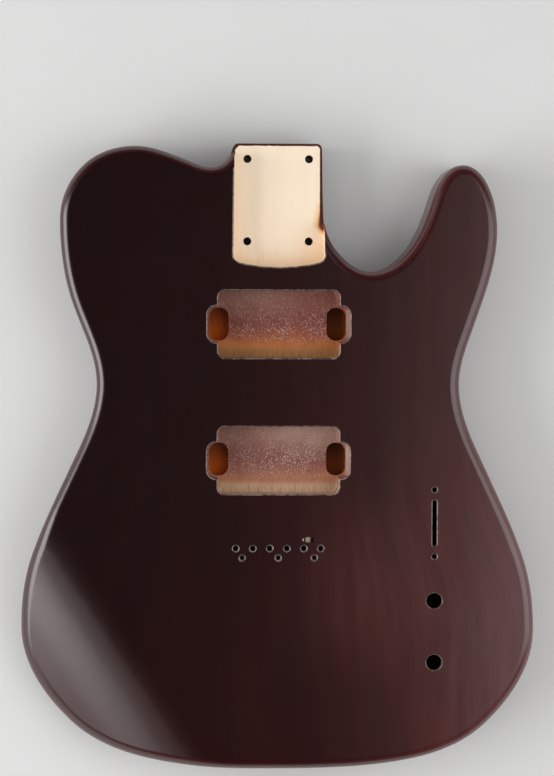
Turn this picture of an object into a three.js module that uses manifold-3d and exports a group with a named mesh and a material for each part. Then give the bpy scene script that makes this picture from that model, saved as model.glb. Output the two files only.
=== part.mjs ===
import * as THREE from "three";
import { mergeVertices } from "three/addons/utils/BufferGeometryUtils.js";
import Module from "manifold-3d";

// Electric guitar body: single cutaway, bolt-on neck, two twin-coil pickups, strings through the body.
// It lies on its back. +Z points out of the front face, +Y to the neck, +X to the treble side.
// The origin is on the back face, at mid-length on the centreline. All lengths are millimetres.

// Glued-up blank
const bodyWidth = 317.2;
const bodyLength = 386;
const bodyThickness = 44.45;
const frontPlateThickness = 6.35;
const edgeRadius = 6.35;
const coreSeamToBass = 4.3;

// Tongue that carries the neck, past the shoulder of the upper bout
const tongueBassReach = 27.9;
const tongueTrebleReach = 27;
const tongueCornerRadius = 3.2;

// Neck pocket, open at the end of the tongue
const pocketLength = 76.4;
const pocketDepth = 15.875;
const pocketHeelWidth = 56.4;
const pocketMouthWidth = 55;
const pocketHeelBow = 2.6;
const pocketCornerRadius = 4.6;
const bassWallShort = 6.5;
const trebleWallShort = 50;
const tongueClearing = 16;
const neckBoltsAcross = 38.1;
const neckBoltsAlong = 50.8;
const neckBoltsFromEnd = 9.5;
const neckBoltHole = 5;

// Pickup routes, with an ear and a deeper leg pocket at each end
const routeWidth = 74.5;
const routeLength = 41.3;
const routeDepth = 19;
const routeCornerRadius = 4.2;
const earWidth = 87.6;
const earLength = 22.2;
const earCornerRadius = 5.2;
const legInner = 30.4;
const legOuter = 42.3;
const legLength = 20.4;
const legDepth = 27;
const neckRouteFromHeel = 35.1;
const bridgeRouteFromHeel = 118.8;

// Bridge and strings
const stringLineFromHeel = 172.9;
const stringSpread = 52.4;
const stringCount = 6;
const stringHole = 3.2;
const ferruleBore = 8;
const ferruleDepth = 10;
const bridgeScrewLineFromHeel = 178.7;
const bridgeScrewSpacing = 22.225;
const bridgeScrewHole = 2.6;
const bridgeScrewDepth = 16;
const holeRim = 0.7;
const groundHole = 3.3;
const groundFromStrings = 5.4;
const groundAcross = 18.9;
const groundSlopeDegrees = 23.7;

// Controls: two pots and a blade switch in one line, over a cavity routed from the back
const potHole = 9.6;
const potSpacing = 38.1;
const switchFromPot = 48;
const switchSlotLength = 28.3;
const switchSlotWidth = 2.6;
const switchScrewSpacing = 41.2;
const switchScrewHole = 3.1;
const cavityUpperRadius = 18;
const cavityLowerRadius = 24;
const cavityUpperFromPot = 58.4;
const cavityLowerFromPot = 35.6;
const ledgeWidth = 8;
const coverThickness = 2.3;
const coverSink = 0.1;
const coverGap = 0.4;
const jackBore = 22.2;
const jackFromLowerPot = 8.9;

// Cover screws
const screwShank = 2.9;
const screwHead = 6.2;
const screwHeadDepth = 1.7;
const screwLength = 12.7;
const screwTipLength = 3;
const screwClearance = 0.3;
const screwSeat = 0.15;

// Hidden routing of the core
const centreBlockWidth = 104;
const chamberBack = 9.5;
const channelBore = 7.5;
const channelHeight = 31;
const channelAcross = 32;

// Forearm contour: a rolled start, then a flat slope down to the rim
const forearmRollRadius = 60;
const forearmSlopeDegrees = 22.5;

// Facets and cuts
const overrun = 5;
const weld = 0.0001;
const stationTurnDegrees = 8.5;
const stationSpacing = 15;
const edgeSegments = 4;
const cornerSegments = 3;
const pocketSegments = 8;
const cavitySegments = 9;
const chamberSegments = 4;
const holeSides = 12;
const potSides = 24;
const jackSides = 28;

// Knots of the outline, each with its heading in degrees, counter-clockwise seen from the front. The
// second number is a share of the half length. In the lower bout, which is the same on both sides, the
// first is a share of the half width. In the horn and the upper bout it runs from the tongue's side to
// the widest rim.
const lowerBoutShares = [
  [0, -1, 0],
  [0.504, -0.973, 10.5],
  [0.811, -0.858, 43.5],
  [1, -0.556, 90],
  [0.957, -0.321, 109],
  [0.815, -0.05, 115],
  [0.704, 0.231, 90],
];
const hornShares = [
  [0.717, 0.428, 71],
  [0.82, 0.734, 92],
  [0.771, 0.874, 118],
  [0.658, 0.932, 180],
  [0.526, 0.845, 251],
  [0.461, 0.723, 244.5],
  [0.227, 0.591, 180],
  [0.064, 0.659, 128.5],
  [0.008, 0.76, 93],
];
const upperBoutShares = [
  [0.039, 0.94, 223],
  [0.108, 0.923, 180],
  [0.245, 0.951, 160],
  [0.46, 0.988, 180],
  [0.708, 0.924, 225],
  [0.814, 0.754, 270],
  [0.76, 0.5, 288],
];

// Where the forearm contour starts on the front face, as shares of the half width and half length.
const forearmLineShares = [
  [-0.873, -0.173],
  [-0.24, -0.953],
];

// Control line and lower pot, as shares of the half width and half length.
const controlLineShare = 0.608;
const lowerPotShare = -0.6575;

// Chambers: the first number runs from the centre block to the widest rim, the second is a share of the
// half length.
const bassUpperChamberShares = [
  [0.02, 0.42],
  [0.02, 0.78],
  [0.12, 0.85],
  [0.33, 0.885],
  [0.52, 0.84],
  [0.59, 0.73],
  [0.55, 0.54],
  [0.45, 0.4],
  [0.29, 0.355],
  [0.1, 0.36],
];
const bassLowerChamberShares = [
  [0.03, 0.22],
  [0.3, 0.26],
  [0.38, 0.19],
  [0.43, 0.06],
  [0.53, -0.07],
  [0.6, -0.2],
  [0.55, -0.33],
  [0.39, -0.47],
  [0.21, -0.63],
  [0.1, -0.71],
  [0.02, -0.67],
  [0.02, -0.2],
];
const trebleChamberShares = [
  [0.03, 0.18],
  [0.02, 0.38],
  [0.1, 0.46],
  [0.3, 0.47],
  [0.44, 0.54],
  [0.5, 0.7],
  [0.58, 0.79],
  [0.645, 0.72],
  [0.6, 0.52],
  [0.48, 0.36],
  [0.37, 0.24],
  [0.25, 0.16],
];

// Places worked out from the sizes above
const halfWidth = bodyWidth / 2;
const halfLength = bodyLength / 2;
const seamHeight = bodyThickness - frontPlateThickness;
const pocketFloor = bodyThickness - pocketDepth;
const heelY = halfLength - pocketLength;
const neckBoltY = halfLength - neckBoltsFromEnd - neckBoltsAlong / 2;
const neckRouteY = heelY - neckRouteFromHeel;
const bridgeRouteY = heelY - bridgeRouteFromHeel;
const stringLineY = heelY - stringLineFromHeel;
const bridgeScrewY = heelY - bridgeScrewLineFromHeel;
const controlX = controlLineShare * halfWidth;
const lowerPotY = lowerPotShare * halfLength;
const upperPotY = lowerPotY + potSpacing;
const switchY = upperPotY + switchFromPot;
const cavityUpperY = upperPotY + cavityUpperFromPot;
const cavityLowerY = upperPotY - cavityLowerFromPot;
const coverRecess = coverThickness + coverSink;
const centreBlockHalf = centreBlockWidth / 2;

const wasm = await Module();
wasm.setup();

// A closed three.js geometry as a solid that can be cut and joined.
function solidOf(geometry) {
  const bare = geometry.index ? geometry.toNonIndexed() : geometry.clone();
  bare.deleteAttribute("normal");
  bare.deleteAttribute("uv");
  const merged = mergeVertices(bare, weld);
  return new wasm.Manifold(
    new wasm.Mesh({
      numProp: 3,
      vertProperties: new Float32Array(merged.attributes.position.array),
      triVerts: new Uint32Array(merged.index.array),
    }),
  );
}

// A solid back as a three.js geometry with flat facets.
function geometryOf(solid) {
  const mesh = solid.getMesh();
  const geometry = new THREE.BufferGeometry();
  const places = new Float32Array(mesh.numVert * 3);
  for (let i = 0; i < mesh.numVert; i++) {
    const from = i * mesh.numProp;
    places.set(mesh.vertProperties.subarray(from, from + 3), i * 3);
  }
  geometry.setAttribute("position", new THREE.BufferAttribute(places, 3));
  geometry.setIndex(new THREE.BufferAttribute(new Uint32Array(mesh.triVerts), 1));
  const faceted = geometry.toNonIndexed();
  faceted.computeVertexNormals();
  return faceted;
}

// Several solids as one.
function joined(solids) {
  return solids.reduce((whole, piece) => whole.add(piece));
}

// A box between two corners.
function block(low, high) {
  const size = high.clone().sub(low);
  const box = new THREE.BoxGeometry(size.x, size.y, size.z);
  box.translate((low.x + high.x) / 2, (low.y + high.y) / 2, (low.z + high.z) / 2);
  return solidOf(box);
}

// A flat shape raised from one height to another.
function prism(shape, low, high, curveSegments) {
  const raised = new THREE.ExtrudeGeometry(shape, {
    depth: high - low,
    bevelEnabled: false,
    curveSegments,
  });
  raised.translate(0, 0, low);
  return solidOf(raised);
}

// A drilled hole from one point to another.
function drilled(from, to, diameter, sides) {
  const run = to.clone().sub(from);
  const hole = new THREE.CylinderGeometry(diameter / 2, diameter / 2, run.length(), sides);
  const turn = new THREE.Quaternion().setFromUnitVectors(
    new THREE.Vector3(0, 1, 0),
    run.clone().normalize(),
  );
  hole.applyQuaternion(turn);
  const middle = from.clone().add(to).multiplyScalar(1 / 2);
  hole.translate(middle.x, middle.y, middle.z);
  return solidOf(hole);
}

// A round hole in the front face with a small countersunk rim.
function rimmedHole(x, y, diameter, bottom) {
  const radius = diameter / 2;
  const top = bodyThickness;
  const profile = [
    new THREE.Vector2(0, bottom),
    new THREE.Vector2(radius, bottom),
    new THREE.Vector2(radius, top - holeRim),
    new THREE.Vector2(radius + holeRim, top),
    new THREE.Vector2(radius + holeRim, top + overrun),
    new THREE.Vector2(0, top + overrun),
  ];
  const turned = new THREE.LatheGeometry(profile, holeSides);
  turned.rotateX(Math.PI / 2);
  turned.translate(x, y, 0);
  return solidOf(turned);
}

// A rectangle round its middle, with four round corners.
function roundedRectangle(x, y, width, length, radius) {
  const shape = new THREE.Shape();
  const left = x - width / 2;
  const right = x + width / 2;
  const low = y - length / 2;
  const high = y + length / 2;
  shape.absarc(right - radius, low + radius, radius, -Math.PI / 2, 0);
  shape.absarc(right - radius, high - radius, radius, 0, Math.PI / 2);
  shape.absarc(left + radius, high - radius, radius, Math.PI / 2, Math.PI);
  shape.absarc(left + radius, low + radius, radius, Math.PI, Math.PI * 1.5);
  shape.closePath();
  return shape;
}

// The corner radius of a slot whose ends are fully round.
function roundEnd(width) {
  return width / 2 - weld;
}

// The outline runs once round the body, from knot to knot. Each stretch is a curve whose handles make a
// round arc of it.
function outlineKnots() {
  const placed = (shares, side, reach) =>
    shares.map(([across, along, heading]) => ({
      at: new THREE.Vector2(side * (reach + across * (halfWidth - reach)), along * halfLength),
      heading: THREE.MathUtils.degToRad(heading),
    }));
  const treble = placed(lowerBoutShares, 1, 0);
  const bass = placed(lowerBoutShares, -1, 0)
    .slice(1)
    .reverse()
    .map(({ at, heading }) => ({ at, heading: -heading }));
  return [
    ...treble,
    ...placed(hornShares, 1, tongueTrebleReach),
    { at: new THREE.Vector2(tongueTrebleReach, halfLength), corner: true },
    { at: new THREE.Vector2(-tongueBassReach, halfLength), corner: true },
    ...placed(upperBoutShares, -1, tongueBassReach),
    ...bass,
  ];
}

// The tongue's bass side leaves its corner straight down.
function stretchHeadings(start, end) {
  const straight = Math.atan2(end.at.y - start.at.y, end.at.x - start.at.x);
  if (start.corner && !end.corner) return [-Math.PI / 2, end.heading];
  return [start.corner ? straight : start.heading, end.corner ? straight : end.heading];
}

// The outline as points, closer together where it turns more.
function outlinePoints() {
  const knots = outlineKnots();
  const points = [];
  knots.forEach((start, i) => {
    const end = knots[(i + 1) % knots.length];
    if (end.corner) {
      points.push(start.at);
      return;
    }
    const [leave, arrive] = stretchHeadings(start, end);
    const turn = Math.atan2(Math.sin(arrive - leave), Math.cos(arrive - leave));
    const chord = start.at.distanceTo(end.at);
    const handle = chord / (3 * Math.cos(turn / 4) ** 2);
    const out = new THREE.Vector2(Math.cos(leave), Math.sin(leave)).multiplyScalar(handle);
    const back = new THREE.Vector2(Math.cos(arrive), Math.sin(arrive)).multiplyScalar(-handle);
    const curve = new THREE.CubicBezierCurve(
      start.at,
      start.at.clone().add(out),
      end.at.clone().add(back),
      end.at,
    );
    const byTurn = Math.ceil(THREE.MathUtils.radToDeg(Math.abs(turn)) / stationTurnDegrees);
    const byLength = Math.ceil(chord / stationSpacing);
    points.push(...curve.getPoints(Math.max(byTurn, byLength, 1)).slice(0, -1));
  });
  return points;
}

// How far the contour lies below the front face at a distance past its starting line, and how steep it is.
function forearmDrop(distance) {
  const slope = THREE.MathUtils.degToRad(forearmSlopeDegrees);
  const rollEnd = forearmRollRadius * Math.sin(slope);
  if (distance <= 0) return { drop: 0, slope: 0 };
  if (distance < rollEnd) {
    const turned = Math.asin(distance / forearmRollRadius);
    return { drop: forearmRollRadius * (1 - Math.cos(turned)), slope: Math.tan(turned) };
  }
  const rolled = forearmRollRadius * (1 - Math.cos(slope));
  return { drop: rolled + (distance - rollEnd) * Math.tan(slope), slope: Math.tan(slope) };
}

// The starting line of the contour, with its direction and the direction in which the face falls away.
function forearmLine() {
  const [start, end] = forearmLineShares.map(
    ([across, along]) => new THREE.Vector2(across * halfWidth, along * halfLength),
  );
  const along = end.clone().sub(start);
  const length = along.length();
  along.normalize();
  return { start, along, length, falling: new THREE.Vector2(along.y, -along.x) };
}

// Everything above the contour: its section in the falling direction, run along the starting line.
function forearmCutter() {
  const { start, along, length, falling } = forearmLine();
  const slope = THREE.MathUtils.degToRad(forearmSlopeDegrees);
  const reach = halfWidth;
  const beyond = length / 2;
  const section = new THREE.Shape();
  section.absarc(
    0,
    bodyThickness - forearmRollRadius,
    forearmRollRadius,
    Math.PI / 2,
    Math.PI / 2 - slope,
    true,
  );
  section.lineTo(reach, bodyThickness - forearmDrop(reach).drop);
  section.lineTo(reach, bodyThickness + overrun);
  section.lineTo(0, bodyThickness + overrun);
  section.closePath();
  const run = new THREE.ExtrudeGeometry(section, {
    depth: length + 2 * beyond,
    bevelEnabled: false,
    curveSegments: edgeSegments,
  });
  const place = new THREE.Matrix4().makeBasis(
    new THREE.Vector3(falling.x, falling.y, 0),
    new THREE.Vector3(0, 0, 1),
    new THREE.Vector3(-along.x, -along.y, 0),
  );
  const origin = start.clone().addScaledVector(along, length + beyond);
  place.setPosition(origin.x, origin.y, 0);
  run.applyMatrix4(place);
  return solidOf(run);
}

// The outward mitre at each point of the outline.
function mitres(points) {
  const count = points.length;
  const outward = points.map((point, i) => {
    const next = points[(i + 1) % count].clone().sub(point).normalize();
    return new THREE.Vector2(next.y, -next.x);
  });
  return outward.map((normal, i) => {
    const before = outward[(i + count - 1) % count];
    return before
      .clone()
      .add(normal)
      .divideScalar(1 + before.dot(normal));
  });
}

// The rounded rim follows the lowered edge: one section of the waste at each station of the rim, skinned
// from the first to the last.
function forearmRimCutter(points) {
  const { start, falling } = forearmLine();
  const outward = mitres(points);
  const past = points.map((point) => point.clone().sub(start).dot(falling));
  const middle = past.indexOf(Math.max(...past));
  const stations = [];
  for (let i = middle; past[i] > 0; i = (i + 1) % points.length) stations.push(i);
  for (let i = middle - 1; past[i] > 0; i--) stations.unshift(i);
  const rings = stations.map((i) => {
    const { drop, slope } = forearmDrop(past[i]);
    const tilt = Math.atan(slope * Math.max(0, falling.dot(outward[i])));
    const rim = bodyThickness - drop;
    const centre = rim + edgeRadius * Math.tan(tilt) - edgeRadius / Math.cos(tilt);
    const section = [];
    for (let j = 0; j <= edgeSegments; j++) {
      const angle = ((Math.PI / 2 - tilt) * j) / edgeSegments;
      const inset = edgeRadius * (Math.cos(angle) - 1);
      section.push(new THREE.Vector2(inset, centre + edgeRadius * Math.sin(angle)));
    }
    section.push(new THREE.Vector2(section.at(-1).x, bodyThickness + overrun));
    section.push(new THREE.Vector2(overrun, bodyThickness + overrun));
    section.push(new THREE.Vector2(overrun, centre));
    const placed = section.map((place) => {
      const at = points[i].clone().addScaledVector(outward[i], place.x);
      return new THREE.Vector3(at.x, at.y, place.y);
    });
    return { section, placed };
  });
  return solidOf(skinned(rings));
}

// A closed skin through sections that all have the same number of points, with flat ends.
function skinned(rings) {
  const round = rings[0].placed.length;
  const last = rings.length - 1;
  const places = [];
  const corner = (ring, i) => rings[ring].placed[i % round].toArray();
  for (let ring = 0; ring < last; ring++) {
    for (let i = 0; i < round; i++) {
      places.push(...corner(ring, i), ...corner(ring, i + 1), ...corner(ring + 1, i + 1));
      places.push(...corner(ring, i), ...corner(ring + 1, i + 1), ...corner(ring + 1, i));
    }
  }
  for (const [a, b, c] of THREE.ShapeUtils.triangulateShape(rings[0].section, [])) {
    places.push(...corner(0, a), ...corner(0, b), ...corner(0, c));
  }
  for (const [a, b, c] of THREE.ShapeUtils.triangulateShape(rings[last].section, [])) {
    places.push(...corner(last, c), ...corner(last, b), ...corner(last, a));
  }
  const skin = new THREE.BufferGeometry();
  skin.setAttribute("position", new THREE.Float32BufferAttribute(places, 3));
  return skin;
}

// The blank with its rounded edges, before any routing.
function blank(points) {
  const raised = new THREE.ExtrudeGeometry(new THREE.Shape(points), {
    depth: bodyThickness - 2 * edgeRadius,
    bevelThickness: edgeRadius,
    bevelSize: edgeRadius,
    bevelOffset: -edgeRadius,
    bevelSegments: edgeSegments,
  });
  raised.translate(0, 0, edgeRadius);
  return solidOf(raised);
}

// Waste outside a rounded vertical corner of the tongue.
function tongueCorner(cornerX) {
  const side = Math.sign(cornerX);
  const radius = tongueCornerRadius;
  const shape = new THREE.Shape();
  shape.moveTo(cornerX - side * radius, halfLength + overrun);
  shape.lineTo(cornerX - side * radius, halfLength);
  shape.absarc(
    cornerX - side * radius,
    halfLength - radius,
    radius,
    Math.PI / 2,
    side > 0 ? 0 : Math.PI,
    side > 0,
  );
  shape.lineTo(cornerX + side * overrun, halfLength - radius);
  shape.lineTo(cornerX + side * overrun, halfLength + overrun);
  shape.closePath();
  return prism(shape, -overrun, bodyThickness + overrun, edgeSegments);
}

// The neck pocket, seen from the front: tapered walls, round heel corners and a bowed heel end. Past the
// ends of its walls it clears the whole tongue down to the floor.
function neckPocket() {
  const shape = new THREE.Shape();
  const heelHalf = pocketHeelWidth / 2;
  const wallStart = heelY + pocketHeelBow + pocketCornerRadius;
  const wallX = (y) => {
    const share = (y - heelY) / pocketLength;
    return heelHalf + ((pocketMouthWidth - pocketHeelWidth) / 2) * share;
  };
  const bassEnd = halfLength - bassWallShort;
  const trebleEnd = halfLength - trebleWallShort;
  const clear = tongueBassReach + tongueClearing;
  const cornerX = heelHalf - pocketCornerRadius;
  shape.moveTo(-clear, halfLength + overrun);
  shape.lineTo(-clear, bassEnd);
  shape.lineTo(-wallX(bassEnd), bassEnd);
  shape.lineTo(-wallX(wallStart), wallStart);
  shape.quadraticCurveTo(-heelHalf, heelY + pocketHeelBow, -cornerX, heelY + pocketHeelBow);
  shape.quadraticCurveTo(0, heelY - pocketHeelBow, cornerX, heelY + pocketHeelBow);
  shape.quadraticCurveTo(heelHalf, heelY + pocketHeelBow, wallX(wallStart), wallStart);
  shape.lineTo(wallX(trebleEnd), trebleEnd);
  shape.lineTo(clear, trebleEnd);
  shape.lineTo(clear, halfLength + overrun);
  shape.closePath();
  return prism(shape, pocketFloor, bodyThickness + overrun, pocketSegments);
}

// Four through holes, two by two, for the screws that hold the neck.
function neckBoltHoles() {
  const holes = [];
  for (const x of [-neckBoltsAcross / 2, neckBoltsAcross / 2]) {
    for (const y of [neckBoltY - neckBoltsAlong / 2, neckBoltY + neckBoltsAlong / 2]) {
      const back = new THREE.Vector3(x, y, -overrun);
      const front = new THREE.Vector3(x, y, bodyThickness);
      holes.push(drilled(back, front, neckBoltHole, holeSides));
    }
  }
  return joined(holes);
}

// A twin-coil pickup's route, its ears and its two leg pockets.
function pickupRoute(y) {
  const legWidth = legOuter - legInner;
  const legX = (legOuter + legInner) / 2;
  const legRadius = roundEnd(legWidth);
  const sunk = (shape, depth) =>
    prism(shape, bodyThickness - depth, bodyThickness + overrun, cornerSegments);
  return joined([
    sunk(roundedRectangle(0, y, routeWidth, routeLength, routeCornerRadius), routeDepth),
    sunk(roundedRectangle(0, y, earWidth, earLength, earCornerRadius), routeDepth),
    sunk(roundedRectangle(-legX, y, legWidth, legLength, legRadius), legDepth),
    sunk(roundedRectangle(legX, y, legWidth, legLength, legRadius), legDepth),
  ]);
}

// Wires run from the neck route to the bridge route, and from there to the control cavity.
function wireChannels() {
  const height = channelHeight;
  const routeEnd = routeLength / 2;
  const outOfNeck = new THREE.Vector3(channelAcross, neckRouteY - routeEnd + overrun, height);
  const intoBridge = new THREE.Vector3(channelAcross, bridgeRouteY + routeEnd - overrun, height);
  const outOfBridge = new THREE.Vector3(
    channelAcross - overrun,
    bridgeRouteY - routeEnd + channelBore,
    height,
  );
  const intoCavity = new THREE.Vector3(controlX, cavityUpperY - cavityUpperRadius, height);
  return joined([
    drilled(outOfNeck, intoBridge, channelBore, holeSides),
    drilled(outOfBridge, intoCavity, channelBore, holeSides),
  ]);
}

// Six string holes with ferrule bores behind, three bridge screw holes, and the slanted hole for the
// bridge's ground wire, which comes out in the control cavity.
function bridgeHoles() {
  const holes = [];
  const pitch = stringSpread / (stringCount - 1);
  for (let i = 0; i < stringCount; i++) {
    const x = (i - (stringCount - 1) / 2) * pitch;
    const behind = new THREE.Vector3(x, stringLineY, -overrun);
    const seat = new THREE.Vector3(x, stringLineY, ferruleDepth);
    holes.push(rimmedHole(x, stringLineY, stringHole, ferruleDepth / 2));
    holes.push(drilled(behind, seat, ferruleBore, 2 * holeSides));
  }
  for (const x of [-bridgeScrewSpacing, 0, bridgeScrewSpacing]) {
    holes.push(rimmedHole(x, bridgeScrewY, bridgeScrewHole, bodyThickness - bridgeScrewDepth));
  }
  const slope = Math.tan(THREE.MathUtils.degToRad(groundSlopeDegrees));
  const groundY = stringLineY + groundFromStrings;
  const mouth = new THREE.Vector3(
    groundAcross - overrun,
    groundY,
    bodyThickness + overrun * slope,
  );
  const end = new THREE.Vector3(controlX, groundY, bodyThickness - (controlX - groundAcross) * slope);
  holes.push(drilled(mouth, end, groundHole, holeSides));
  return joined(holes);
}

// Holes in the front plate for the pots and the switch.
function controlHoles() {
  const below = seamHeight - overrun;
  const above = bodyThickness + overrun;
  const straight = (y, diameter, sides) =>
    drilled(
      new THREE.Vector3(controlX, y, below),
      new THREE.Vector3(controlX, y, above),
      diameter,
      sides,
    );
  const slot = roundedRectangle(
    controlX,
    switchY,
    switchSlotWidth,
    switchSlotLength,
    roundEnd(switchSlotWidth),
  );
  return joined([
    straight(upperPotY, potHole, potSides),
    straight(lowerPotY, potHole, potSides),
    straight(switchY - switchScrewSpacing / 2, switchScrewHole, holeSides),
    straight(switchY + switchScrewSpacing / 2, switchScrewHole, holeSides),
    prism(slot, below, above, cornerSegments),
  ]);
}

// The control cavity: two round ends of unlike size and the lines that touch both. Grown by the ledge's
// width, it is the seat of the cover.
function cavityShape(growth) {
  const upper = cavityUpperRadius + growth;
  const lower = cavityLowerRadius + growth;
  const lean = Math.asin((lower - upper) / (cavityUpperY - cavityLowerY));
  const shape = new THREE.Shape();
  shape.absarc(controlX, cavityUpperY, upper, lean, Math.PI - lean);
  shape.absarc(controlX, cavityLowerY, lower, Math.PI - lean, 2 * Math.PI + lean);
  shape.closePath();
  return shape;
}

// The cavity goes through the core and stops at the front plate.
function controlCavity() {
  return prism(cavityShape(0), -overrun, seamHeight + overrun, cavitySegments);
}

// The jack goes in through the treble rim, level with the middle of the core's edge.
function jackHole() {
  const y = lowerPotY + jackFromLowerPot;
  const inside = new THREE.Vector3(controlX, y, bodyThickness / 2);
  const outside = new THREE.Vector3(halfWidth + overrun, y, bodyThickness / 2);
  return drilled(inside, outside, jackBore, jackSides);
}

// Screws stand in the middle of the ledge: one at each end and one at each side of both round ends.
function screwPlaces() {
  const middle = ledgeWidth / 2;
  const upper = cavityUpperRadius + middle;
  const lower = cavityLowerRadius + middle;
  return [
    new THREE.Vector2(controlX, cavityUpperY + upper),
    new THREE.Vector2(controlX + upper, cavityUpperY),
    new THREE.Vector2(controlX + lower, cavityLowerY),
    new THREE.Vector2(controlX, cavityLowerY - lower),
    new THREE.Vector2(controlX - lower, cavityLowerY),
    new THREE.Vector2(controlX - upper, cavityUpperY),
  ];
}

// Clearance holes in the core for the cover screws.
function screwPilotHoles() {
  const diameter = screwShank + 2 * screwClearance;
  const depth = coverSink + screwLength + screwClearance;
  return joined(
    screwPlaces().map(({ x, y }) =>
      drilled(new THREE.Vector3(x, y, 0), new THREE.Vector3(x, y, depth), diameter, holeSides),
    ),
  );
}

// A chamber routed into the core from its front, under the front plate, on the side given by the sign.
function chamber(shares, side) {
  const knots = shares.map(([out, along]) => {
    const x = centreBlockHalf + out * (halfWidth - centreBlockHalf);
    return new THREE.Vector3(side * x, along * halfLength, 0);
  });
  const curve = new THREE.CatmullRomCurve3(knots, true, "centripetal");
  const points = curve.getPoints(chamberSegments * knots.length).slice(0, -1);
  const flat = points.map(({ x, y }) => new THREE.Vector2(x, y));
  return prism(new THREE.Shape(flat), chamberBack, seamHeight + overrun, 1);
}

// The half of a solid on one side of a glue line, over or under the front plate's seam.
function quarter(solid, seamX, side, low, high) {
  const far = side * bodyLength;
  return solid.intersect(
    block(
      new THREE.Vector3(Math.min(seamX, far), -bodyLength, low),
      new THREE.Vector3(Math.max(seamX, far), bodyLength, high),
    ),
  );
}

// The cover fills its seat but for a small gap, with a countersunk hole for each screw.
function controlCover() {
  const low = coverSink;
  const plate = prism(cavityShape(ledgeWidth - coverGap), low, coverRecess, cavitySegments);
  const holes = screwPlaces().map(({ x, y }) => {
    const shank = screwShank / 2 + screwClearance;
    const head = screwHead / 2 + screwClearance;
    const profile = [
      new THREE.Vector2(0, low - overrun),
      new THREE.Vector2(head, low - overrun),
      new THREE.Vector2(head, low),
      new THREE.Vector2(shank, low + screwHeadDepth),
      new THREE.Vector2(shank, coverRecess + overrun),
      new THREE.Vector2(0, coverRecess + overrun),
    ];
    const turned = new THREE.LatheGeometry(profile, 2 * holeSides);
    turned.rotateX(Math.PI / 2);
    turned.translate(x, y, 0);
    return solidOf(turned);
  });
  return plate.subtract(joined(holes));
}

// A countersunk wood screw, head down at the back face, tip up in the core.
function coverScrew({ x, y }) {
  const shank = screwShank / 2;
  const head = screwHead / 2;
  const low = coverSink + screwSeat;
  const profile = [
    new THREE.Vector2(0, low),
    new THREE.Vector2(head, low),
    new THREE.Vector2(shank, low + screwHeadDepth),
    new THREE.Vector2(shank, low + screwLength - screwTipLength),
    new THREE.Vector2(0, low + screwLength - screwSeat),
  ];
  const turned = new THREE.LatheGeometry(profile, holeSides);
  turned.rotateX(Math.PI / 2);
  turned.translate(x, y, 0);
  return solidOf(turned);
}

const satinFinish = new THREE.MeshStandardMaterial({
  color: 0x3a1a1a,
  roughness: 0.4,
  metalness: 0,
});
const blackPlastic = new THREE.MeshStandardMaterial({
  color: 0x111113,
  roughness: 0.5,
  metalness: 0,
});
const steel = new THREE.MeshStandardMaterial({
  color: 0xb4b6ba,
  roughness: 0.3,
  metalness: 1,
});

// A solid as a mesh with its node name.
function named(name, solid, material) {
  const mesh = new THREE.Mesh(geometryOf(solid), material);
  mesh.name = name;
  return mesh;
}

const outline = outlinePoints();
const wasteInFront = joined([
  forearmCutter(),
  forearmRimCutter(outline),
  tongueCorner(tongueTrebleReach),
  tongueCorner(-tongueBassReach),
  neckPocket(),
  neckBoltHoles(),
  pickupRoute(neckRouteY),
  pickupRoute(bridgeRouteY),
  bridgeHoles(),
  controlHoles(),
]);
const shaped = blank(outline).subtract(wasteInFront);
const routedCore = joined([
  wireChannels(),
  controlCavity(),
  jackHole(),
  prism(cavityShape(ledgeWidth), -overrun, coverRecess, cavitySegments),
  screwPilotHoles(),
  chamber(bassUpperChamberShares, -1),
  chamber(bassLowerChamberShares, -1),
  chamber(trebleChamberShares, 1),
]);
const core = quarter(shaped, -bodyLength, 1, -overrun, seamHeight).subtract(routedCore);
const frontHigh = bodyThickness + overrun;

const body = new THREE.Group();
body.add(
  named("top_bass", quarter(shaped, 0, -1, seamHeight, frontHigh), satinFinish),
  named("top_treble", quarter(shaped, 0, 1, seamHeight, frontHigh), satinFinish),
  named("core_bass", quarter(core, -coreSeamToBass, -1, -overrun, seamHeight), satinFinish),
  named("core_treble", quarter(core, -coreSeamToBass, 1, -overrun, seamHeight), satinFinish),
  named("control_cover", controlCover(), blackPlastic),
);
screwPlaces().forEach((place, i) => {
  body.add(named(`cover_screw_${i + 1}`, coverScrew(place), steel));
});

export default body;
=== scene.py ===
from math import asin, atan2, cos, degrees, hypot, pi, radians, sin, tan

import bmesh
import bpy
from mathutils import Matrix, Vector


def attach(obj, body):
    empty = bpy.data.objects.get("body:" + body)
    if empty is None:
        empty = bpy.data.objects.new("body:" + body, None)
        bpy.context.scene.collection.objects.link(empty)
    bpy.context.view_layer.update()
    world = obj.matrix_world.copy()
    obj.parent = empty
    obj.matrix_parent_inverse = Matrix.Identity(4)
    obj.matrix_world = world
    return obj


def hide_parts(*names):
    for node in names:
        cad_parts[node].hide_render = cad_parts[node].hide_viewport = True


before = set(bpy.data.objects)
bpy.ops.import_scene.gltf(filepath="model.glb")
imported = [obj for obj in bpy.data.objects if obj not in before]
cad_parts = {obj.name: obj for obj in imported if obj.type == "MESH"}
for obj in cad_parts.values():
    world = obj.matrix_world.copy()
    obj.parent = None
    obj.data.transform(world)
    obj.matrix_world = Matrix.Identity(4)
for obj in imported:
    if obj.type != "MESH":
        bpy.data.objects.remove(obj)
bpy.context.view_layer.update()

mm = 0.001
tiny = 1e-6
past = 5  # how far a cutting tool reaches past the face it cuts

# Sizes are millimetres, in the part's frame: back face at zero, neck towards +Y, treble side towards +X.


# Selecting and editing

def workOn(piece):
    bpy.ops.object.select_all(action="DESELECT")
    piece.select_set(True)
    bpy.context.view_layer.objects.active = piece


def openMesh(piece):
    workOn(piece)
    bpy.ops.object.mode_set(mode="EDIT")


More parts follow.
